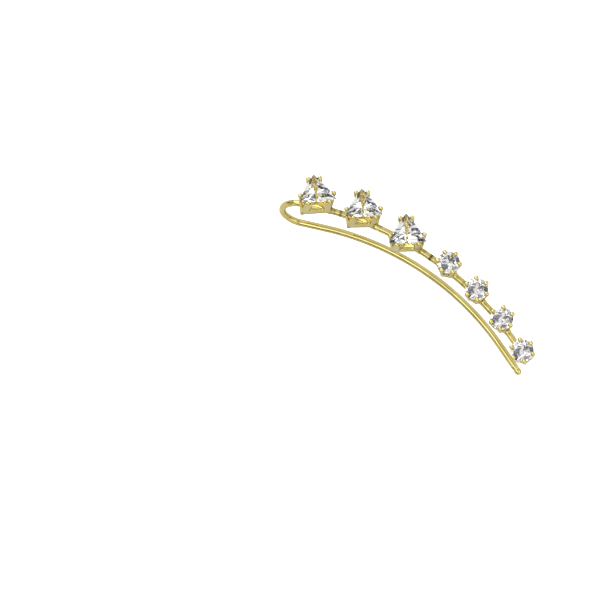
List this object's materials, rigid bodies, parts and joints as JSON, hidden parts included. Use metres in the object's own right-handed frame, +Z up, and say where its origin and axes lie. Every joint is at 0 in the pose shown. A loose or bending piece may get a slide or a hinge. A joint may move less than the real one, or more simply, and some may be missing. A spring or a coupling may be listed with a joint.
{
  "type": "ear climber",
  "caption": "Gold ear climber with a bowed bar of trillion and round stones in claw baskets and a long ear wire behind it.",
  "frame": {"origin": "bottom centre of the box, on the surface that the ear wire rests on", "axes": "+Z up, from the ear wire to the stones; +X from the closed bend to the free end of the ear wire; +Y to the outer side of the bow"},
  "size_m": [0.0321, 0.0169, 0.0085],
  "materials": {
    "gold": "polished pale yellow gold plate",
    "clear_stone": "cut and polished, clear"
  },
  "bodies": {
    "root": {"climber_frame": "gold", "trillion_stone_1": "clear_stone", "trillion_stone_2": "clear_stone", "trillion_stone_3": "clear_stone", "round_stone_1": "clear_stone", "round_stone_2": "clear_stone", "round_stone_3": "clear_stone", "round_stone_4": "clear_stone"}
  },
  "joints": []
}
